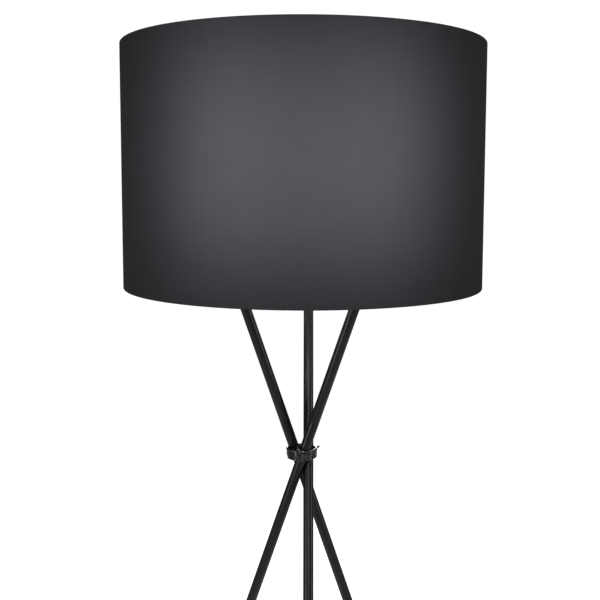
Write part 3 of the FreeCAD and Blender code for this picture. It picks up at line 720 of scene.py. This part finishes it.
def hoop(height):
    """A closed ring of the hoop's round wire."""
    corners = []
    for side in range(HOOP_SIDES):
        angle = 2 * math.pi * side / HOOP_SIDES
        corners.append((HOOP_RADIUS + HOOP_WIRE * math.cos(angle), HOOP_WIRE * math.sin(angle)))
    return turn(corners, around=192, at=Matrix.Translation((0, 0, height)))


hoops = {"top": SHADE_TOP - HOOP_LIFT, "bottom": SHADE_BOTTOM + HOOP_LIFT}
for end, height in hoops.items():
    node = f"shade_wire_{end}"
    piece(f"shade_hoop_{end}", hoop(height), epoxy.material, "shade", [node])

fitter_outline = rounded(
    [
        (FITTER_HOLE, 0),
        (FITTER_RADIUS, 0),
        (FITTER_RADIUS, FITTER_THICKNESS),
        (FITTER_HOLE, FITTER_THICKNESS),
    ],
    0.5 * MM,
)
spider = turn(fitter_outline, 96, at=Matrix.Translation((0, 0, FITTER_SEAT)))
arm_level = FITTER_SEAT + FITTER_THICKNESS / 2
bend_start = ARM_DROP_RADIUS - ARM_BEND
arm_run = [(FITTER_RADIUS - 1 * MM, arm_level), (FITTER_RADIUS + 20 * MM, arm_level)]
arm_run += [(bend_start - 30 * MM, arm_level), (bend_start - 4 * MM, arm_level)]
arm_run += [(ARM_DROP_RADIUS - inward, arm_level - down) for inward, down in ARM_BEND_POINTS]
arm_run.append((ARM_DROP_RADIUS, arm_level - 2 * ARM_BEND))
arm_run.append((ARM_DROP_RADIUS, hoops["bottom"] - HOOP_WIRE / 2))
for azimuth in ARM_AZIMUTHS:
    angle = math.radians(azimuth)
    across = Vector((math.cos(angle), math.sin(angle), 0))
    arm = drawn([across * reach + Vector((0, 0, z)) for reach, z in arm_run], ARM_WIRE)
    spider = joined(spider, arm)
    for reach, z in ((FITTER_RADIUS, arm_level), (ARM_DROP_RADIUS + ARM_WIRE, hoops["bottom"])):
        bead = Matrix.Translation(across * reach + Vector((0, 0, z)))
        bead @= Matrix.Diagonal((*WELD_SIZE, 1))
        bmesh.ops.create_uvsphere(
            spider, u_segments=WELD_SIDES, v_segments=WELD_SIDES // 2, radius=1, matrix=bead
        )
piece("shade_welded_spider", spider, epoxy.material, "shade", ["shade_spider"])


# --- Shade lining ---------------------------------------------------------------------------------
# A stiff sheet of white self-extinguishing plastic, rolled into a drum. It carries the cloth, which
# is laminated to its outside. Its own edges stop short of the hoops.

LINING_RADIUS = 224.15 * MM
LINING_THICKNESS = 0.4 * MM
LINING_LOW = 1247.4 * MM
LINING_HIGH = 1534.6 * MM
LINING_EDGE = 1 * MM
LINING_STEP = 40 * MM

lining_white = Finish("white_lining_film", Specular_IOR_Level=0.4)
haze = lining_white.cloud(14, detail=3)
lining_white.vary(Base_Color=lining_white.between((0.80, 0.80, 0.78), (0.74, 0.74, 0.72), haze))
lining_white.vary(Roughness=0.42 + 0.15 * haze)
lining_white.relief(lining_white.cloud(60, detail=2), 0.1 * MM)
inner = LINING_RADIUS - LINING_THICKNESS
film = turn(
    [
        (LINING_RADIUS, LINING_LOW),
        *column(LINING_RADIUS, LINING_LOW + LINING_EDGE, LINING_HIGH - LINING_EDGE, LINING_STEP),
        (LINING_RADIUS, LINING_HIGH),
        (inner, LINING_HIGH),
        *column(inner, LINING_HIGH - LINING_EDGE, LINING_LOW + LINING_EDGE, LINING_STEP),
        (inner, LINING_LOW),
    ],
    around=256,
)
film_white = lining_white.material
piece("shade_lining_film", film, film_white, "shade", ["shade_lining"])


# --- Shade cover ----------------------------------------------------------------------------------
# Charcoal cotton laminated to the lining. The cloth is turned in round both hoops in a soft roll,
# its hem is cut away where the arms pass, and its ends lap at the back in one glued strip. At the
# strip's free edge, a fine upright line of painted shadow stands for the shade of the step.

COVER_RADIUS = 225 * MM
COVER_INSIDE = 224.2 * MM
COVER_THICKNESS = 0.8 * MM
HEM_OUTSIDE = 220.95 * MM
HEM_INSIDE = 220.15 * MM
HEM_RETURN = 8 * MM
HEM_ROLL = 1.9 * MM
HEM_INNER_ROLL = 0.9 * MM
SIDE_INSET = 3 * MM
SIDE_STEP = 12 * MM
NOTCH_HALF = 3.2 * MM
LAP_AZIMUTH = math.radians(90)
LAP_WIDTH = 12 * MM
LAP_RISE = 0.45 * MM
LAP_EDGE = 0.25 * MM
LAP_SLOPE = 7 * MM
CLOTH_STEPS = 480
THREADS_PER_METRE = 1700
COTTON_LEVEL = 0.0355
COTTON_TINT = (1, 0.985, 1.12)
LINT_COLOUR = (0.08, 0.08, 0.085)
# The colour and reach of the painted shadow line at the foot of the lap's free edge.
LAP_SHADOW_COLOUR = (0.012, 0.012, 0.013)
LAP_SHADOW_REACH = 2.5 * MM


def roll(corner, radius, out, up, steps=5):
    """A quarter round from a side to an edge, about the corner that two directions lead to."""
    points = []
    for step in range(steps + 1):
        angle = math.pi / 2 * step / steps
        reach = corner[0] - out * radius * (1 - math.cos(angle))
        points.append((reach, corner[1] - up * radius * (1 - math.sin(angle))))
    return points


def cloth_end(edge, up):
    """The rolled end of the cloth, from its outside round to its inside."""
    outer = roll((COVER_RADIUS, edge), HEM_ROLL, 1, up)
    turned_in = roll((HEM_INSIDE, edge), HEM_ROLL, -1, up)[::-1]
    back = edge - up * COVER_THICKNESS
    inside = [
        (HEM_INSIDE, edge - up * HEM_RETURN * 0.5),
        (HEM_INSIDE, edge - up * HEM_RETURN),
        (HEM_OUTSIDE, edge - up * HEM_RETURN),
        (HEM_OUTSIDE, edge - up * HEM_RETURN * 0.5),
    ]
    lining_side = [
        (HEM_OUTSIDE, back - up * HEM_INNER_ROLL),
        (HEM_OUTSIDE + HEM_INNER_ROLL, back),
        (COVER_INSIDE - HEM_INNER_ROLL, back),
        (COVER_INSIDE, back - up * HEM_INNER_ROLL),
    ]
    return outer + turned_in + inside + lining_side


def cloth_shape(radius, height, angle):
    """The lap's raised strip, and the notches that let the arms through the lower hem."""
    across = math.remainder(angle - LAP_AZIMUTH, 2 * math.pi) * COVER_RADIUS
    if radius > COVER_INSIDE + 0.1 * MM:
        run = LAP_EDGE if across > 0 else LAP_SLOPE
        strip = max(0.0, min(1.0, (LAP_WIDTH / 2 - abs(across)) / run))
        radius += LAP_RISE * strip * strip * (3 - 2 * strip)
    free_edge = radius < HEM_OUTSIDE + 0.1 * MM and height > SHADE_BOTTOM + 0.4 * HEM_RETURN
    if free_edge and height < SHADE_BOTTOM + 2 * HEM_RETURN:
        for azimuth in ARM_AZIMUTHS:
            beside = abs(math.remainder(angle - math.radians(azimuth), 2 * math.pi)) * HEM_OUTSIDE
            if beside < NOTCH_HALF:
                height = SHADE_BOTTOM + HEM_ROLL + (height - SHADE_BOTTOM) * 0.1
    return radius, height


side_ends = (SHADE_BOTTOM + SIDE_INSET, SHADE_TOP - SIDE_INSET)
cover_outline = column(COVER_RADIUS, *side_ends, SIDE_STEP)
cover_outline += cloth_end(SHADE_TOP, 1)
cover_outline += column(COVER_INSIDE, *side_ends, SIDE_STEP)[::-1]
cover_outline += cloth_end(SHADE_BOTTOM, -1)[::-1]
cloth_steps = [2 * math.pi * step / CLOTH_STEPS for step in range(CLOTH_STEPS)]
for beside in (LAP_WIDTH / 2 - LAP_EDGE, LAP_WIDTH / 2):
    cloth_steps.append(LAP_AZIMUTH + beside / COVER_RADIUS)
cloth = turn(cover_outline, sorted(cloth_steps), cloth_shape)

cotton = Finish("charcoal_cotton", Sheen_Weight=0.015, Sheen_Roughness=0.4, Specular_IOR_Level=0.04)
where = cotton.place()
x, y, z = (cotton.add("SeparateXYZ", output=axis, Vector=where) for axis in "XYZ")
round_shade = y.math("ARCTAN2", x) * COVER_RADIUS
warp = (round_shade * (2 * math.pi * THREADS_PER_METRE)).math("SINE")
weft = (z * (2 * math.pi * THREADS_PER_METRE)).math("SINE")
weave = 0.5 + 0.25 * (warp + weft)
unrolled = cotton.add("CombineXYZ", X=round_shade, Y=z, Z=0.0)
slub_place = cotton.add("Mapping", Vector=unrolled, Scale=(260, 22, 1))
slub = cotton.add("TexNoise", Vector=slub_place, Scale=1.0, Detail=3)
cross_place = cotton.add("Mapping", Vector=unrolled, Scale=(20, 300, 1))
cross_slub = cotton.add("TexNoise", Vector=cross_place, Scale=1.0, Detail=3)
fade = cotton.cloud(6, detail=2)
lint = cotton.step(cotton.cloud(190, detail=1), 0.825, 0.84)
tone = 0.35 * slub + 0.35 * cross_slub + 0.3 * fade
dyed = cotton.between(*shades(COTTON_LEVEL, 0.22, COTTON_TINT), tone)
flecked = cotton.between(dyed, LINT_COLOUR, lint)
# Painted shadow: a thin dark upright line at the lap's free edge, standing in for the step's shade.
from_edge = round_shade - (LAP_AZIMUTH * COVER_RADIUS + LAP_WIDTH / 2)
lap_shadow = 1 - cotton.step(from_edge.math("ABSOLUTE") * (1 / LAP_SHADOW_REACH), 0.1, 0.3)
cotton.vary(Base_Color=cotton.between(flecked, LAP_SHADOW_COLOUR, lap_shadow))
cotton.vary(Roughness=0.80 + 0.15 * slub)
cotton.relief(0.6 * weave + 0.25 * slub + 0.25 * cross_slub, 0.12 * MM)
charcoal = cotton.material
cover = piece(
    "shade_cotton_cover", cloth, charcoal, "shade", ["shade_cover"], sharp=60
)


# --- Clamp ring -----------------------------------------------------------------------------------
# A pressed black phenolic ring with a thin flange and a ribbed collar for the fingers. It screws
# down the holder's skirt and holds the shade's fitter ring on its seat.

CLAMP_LOW = 1298.073 * MM
CLAMP_BORE = 19.9 * MM
CLAMP_FLANGE_RADIUS = 27 * MM
CLAMP_FLANGE = 2 * MM
CLAMP_COLLAR = 22.5 * MM
CLAMP_HEIGHT = 9.5 * MM
CLAMP_RIBS = 36
CLAMP_RIB_DEPTH = 0.5 * MM
CLAMP_RIB_BAND = (CLAMP_FLANGE + 1.4 * MM, CLAMP_HEIGHT - 0.2 * MM)
CLAMP_EASE = (0.3 * MM, 0.4 * MM, 0.6 * MM)


def clamp_ribs(radius, height, angle):
    """Grooves up the collar's outside, between the flange and the top."""
    grip = level_ramp(height, *CLAMP_RIB_BAND, RIB_RUN)
    if not 0.98 * CLAMP_COLLAR < radius < 1.02 * CLAMP_COLLAR:
        grip = 0
    return radius - CLAMP_RIB_DEPTH * grip * (0.5 + 0.5 * math.cos(CLAMP_RIBS * angle)), height


clamp_outline = [
    (CLAMP_BORE, 0),
    (CLAMP_FLANGE_RADIUS - CLAMP_EASE[0], 0),
    (CLAMP_FLANGE_RADIUS, CLAMP_EASE[0]),
    (CLAMP_FLANGE_RADIUS, CLAMP_FLANGE - CLAMP_EASE[1]),
    (CLAMP_FLANGE_RADIUS - CLAMP_EASE[1], CLAMP_FLANGE),
    (CLAMP_COLLAR + 0.8 * MM, CLAMP_FLANGE + 0.3 * MM),
    *column(CLAMP_COLLAR, CLAMP_FLANGE + 1.2 * MM, CLAMP_HEIGHT - CLAMP_EASE[2], 0.6 * MM),
    (CLAMP_COLLAR - CLAMP_EASE[2], CLAMP_HEIGHT),
    (CLAMP_BORE, CLAMP_HEIGHT),
]
clamp = turn(clamp_outline, CLAMP_RIBS * 6, clamp_ribs, Matrix.Translation((0, 0, CLAMP_LOW)))
piece("clamp_ring_ribbed", clamp, holder_black, "clamp_ring", ["shade_clamp_ring"])


# --- Bulb -----------------------------------------------------------------------------------------
# A globe lamp with light-emitting diodes: a rolled nickel screw cap with a black glass insulator
# and a soldered tip, a white moulded housing, and an opal diffuser over an aluminium board.

BULB_LOW = 1304.573 * MM
CAP_CREST = 13.2 * MM
CAP_GROOVE = 0.9 * MM
CAP_LOW = 4.5 * MM
CAP_HIGH = 25 * MM
CAP_SHEET = 0.6 * MM
CAP_FLOOR = 1.2 * MM
TIP_ROOM = 5.05 * MM
INSULATOR_LOW = 1.5 * MM
HOUSING_LOW = 25.05 * MM
HOUSING_COLLAR = 4 * MM
HOUSING_FLARE = (2 * MM, 2.6 * HOUSING_COLLAR)
HOUSING_BRIM = (2.2 * MM, 9 * MM)
GLOBE_RADIUS = 30 * MM
GLOBE_CENTRE = 78 * MM
GLOBE_RIM = 61 * MM
GLOBE_WALL = 1.2 * MM
GLOBE_STEPS = 28

at_bulb = Matrix.Translation((0, 0, BULB_LOW))
rolled_cap = turn(
    [
        (TIP_ROOM, INSULATOR_LOW),
        (TIP_ROOM + 3 * MM, INSULATOR_LOW),
        (CAP_CREST - 0.6 * MM, CAP_LOW - 0.5 * MM),
        *column(CAP_CREST, CAP_LOW, CAP_HIGH, LAMP_PITCH / 10),
        (CAP_CREST - CAP_SHEET - CAP_GROOVE, CAP_HIGH),
        (CAP_CREST - CAP_SHEET - CAP_GROOVE, CAP_LOW + CAP_FLOOR),
        (TIP_ROOM + 1.8 * MM, INSULATOR_LOW + CAP_FLOOR),
        (TIP_ROOM, INSULATOR_LOW + CAP_FLOOR),
    ],
    72,
    screw_thread(LAMP_PITCH, CAP_GROOVE, CAP_LOW + 1 * MM, CAP_HIGH - 2 * MM, (12.9 * MM, 14 * MM)),
    at_bulb,
)
piece("bulb_rolled_cap", rolled_cap, nickel, "bulb", ["bulb_cap"])

bulb_white = Finish("bulb_white_plastic", Specular_IOR_Level=0.5)
tooling = bulb_white.cloud(80, detail=3)
bulb_white.vary(Base_Color=bulb_white.between((0.80, 0.80, 0.78), (0.74, 0.74, 0.72), tooling))
bulb_white.vary(Roughness=0.34 + 0.12 * tooling)
bulb_white.relief(bulb_white.cloud(1500, detail=1), 0.03 * MM)
rim = math.sqrt(GLOBE_RADIUS**2 - (GLOBE_CENTRE - GLOBE_RIM) ** 2)
neck = CAP_CREST + 0.6 * MM
housing_outline = [
    (CAP_CREST - GLOBE_WALL, HOUSING_LOW),
    (neck, HOUSING_LOW),
    (neck, HOUSING_LOW + HOUSING_COLLAR),
    (neck + HOUSING_FLARE[0], HOUSING_LOW + HOUSING_FLARE[1]),
    (rim - HOUSING_BRIM[0], GLOBE_RIM - HOUSING_BRIM[1]),
    (rim, GLOBE_RIM),
    (rim - GLOBE_WALL, GLOBE_RIM),
    (rim - HOUSING_BRIM[0] - GLOBE_WALL, GLOBE_RIM - HOUSING_BRIM[1]),
    (neck + HOUSING_FLARE[0] - GLOBE_WALL, HOUSING_LOW + HOUSING_FLARE[1]),
    (CAP_CREST - GLOBE_WALL, HOUSING_LOW + HOUSING_COLLAR),
]
housing = turn(rounded(housing_outline, 0.5 * MM), 96, at=at_bulb)
plastic = bulb_white.material
piece("bulb_moulded_housing", housing, plastic, "bulb", ["bulb_housing"])

opal = Finish("opal_diffuser", Coat_Weight=0.3, Coat_Roughness=0.2)
veil = opal.cloud(70, detail=2)
opal.vary(Base_Color=opal.between((0.86, 0.86, 0.84), (0.81, 0.81, 0.79), veil))
opal.vary(Roughness=0.45 + 0.1 * veil)
opal.relief(opal.cloud(1600, detail=1), 0.02 * MM)
from_top = math.acos((GLOBE_RIM - GLOBE_CENTRE) / GLOBE_RADIUS)
globe_outline = []
for radius, way in ((GLOBE_RADIUS, 1), (GLOBE_RADIUS - GLOBE_WALL, -1)):
    arc = []
    for step in range(GLOBE_STEPS + 1):
        angle = from_top * (1 - step / GLOBE_STEPS)
        arc.append((radius * math.sin(angle), GLOBE_CENTRE + radius * math.cos(angle)))
    arc[-1] = (0, GLOBE_CENTRE + radius)
    globe_outline += arc[::way]
globe = turn(globe_outline, 96, at=at_bulb)
piece("bulb_opal_globe", globe, opal.material, "bulb", ["bulb_globe"])

dress(plated("bulb_board_aluminium", (0.72, 0.72, 0.74), 0.35), "bulb_board", ease=0.2 * MM)
dress(plated("bulb_tip_solder", (0.60, 0.60, 0.60), 0.3), "bulb_tip_contact", ease=0.5 * MM)


# --- Studio ---------------------------------------------------------------------------------------
# A floor and a sky that the camera sees as plain white. A tall soft light stands in front, a close
# pair falls on the middle of the shade, strips at the sides light the rods' edges, and soft lights
# shine from above, down into the shade and from behind. The camera is level with the shade.

FLOOR_SIZE = 60
FLOOR_LEVEL = -0.0005

floor_mesh = bpy.data.meshes.new("floor")
floor_form = bmesh.new()
bmesh.ops.create_grid(floor_form, x_segments=1, y_segments=1, size=FLOOR_SIZE / 2)
bmesh.ops.translate(floor_form, verts=floor_form.verts, vec=(0, 0, FLOOR_LEVEL))
floor_form.to_mesh(floor_mesh)
floor_form.free()
paper = Finish("pale_paper", Roughness=0.9, Specular_IOR_Level=0.1)
fibres = paper.cloud(3, detail=2)
paper.vary(Base_Color=paper.between((0.88, 0.88, 0.88), (0.86, 0.86, 0.86), fibres))
paper.vary(Emission_Color=paper.add("LightPath", output="Is Camera Ray"), Emission_Strength=0.95)
floor_mesh.materials.append(paper.material)
floor = bpy.data.objects.new("floor", floor_mesh)
bpy.context.scene.collection.objects.link(floor)

world = bpy.data.worlds.new("studio")
bpy.context.scene.world = world
world.use_nodes = True
sky = world.node_tree.nodes["Background"]
sky.inputs["Color"].default_value = (1, 1, 1, 1)
ray = world.node_tree.nodes.new("ShaderNodeLightPath")
SKY_LIGHT = 0.11
seen = Term(world.node_tree, ray.outputs["Is Camera Ray"]) * (1.05 - SKY_LIGHT) + SKY_LIGHT
world.node_tree.links.new(seen.socket, sky.inputs["Strength"])


def lamp(name, place, target, size, watts, spread=180):
    """A rectangular soft light that the camera doesn't see."""
    light = bpy.data.lights.new(name, "AREA")
    light.shape = "RECTANGLE"
    light.size, light.size_y = size
    light.energy = watts
    light.spread = math.radians(spread)
    made = bpy.data.objects.new(name, light)
    made.location = place
    aim = Vector(target) - Vector(place)
    made.rotation_euler = aim.to_track_quat("-Z", "Y").to_euler()
    made.visible_camera = False
    bpy.context.scene.collection.objects.link(made)


lamp("front", (0.2, -2.6, 2.15), (0, 0, 1.1), (0.7, 1.3), 12)
for name, side in (("glow_left", -1), ("glow_right", 1)):
    lamp(name, (side * 0.150, -0.424, 1.402), (0, 0, 1.402), (0.15, 0.22), 0.256, 62)
lamp("strip_left", (-1.64, -1.15, 1.1), (0, 0, 1.05), (0.30, 1.2), 7.6)
lamp("strip_right", (1.93, -0.52, 1.1), (0, 0, 1.05), (0.30, 1.2), 4.8)
lamp("top", (0.3, 0.4, 3.4), (0, 0, 1.0), (1.6, 1.6), 15)
lamp("inside", (0, 0, 1.85), (0, 0, 1.3), (0.12, 0.12), 1.6, 70)
lamp("back", (0.5, 2.4, 2.0), (0, 0, 1.1), (1.2, 1.0), 26)

EYE = (0, -1.1185, 1.3756)
PITCH = 5.47
ROLL = -0.13
YAW = 0.19
LENS = 52.81
SENSOR = 36
RISE = -0.0594
camera_data = bpy.data.cameras.new("camera")
camera_data.lens = LENS
camera_data.sensor_width = SENSOR
camera_data.shift_y = RISE
camera_data.clip_start = 0.01
camera_data.clip_end = 200
camera = bpy.data.objects.new("camera", camera_data)
camera.location = EYE
camera.rotation_euler = [math.radians(angle) for angle in (90 - PITCH, ROLL, YAW)]
bpy.context.scene.collection.objects.link(camera)
bpy.context.scene.camera = camera
bpy.context.scene.view_settings.view_transform = "Standard"
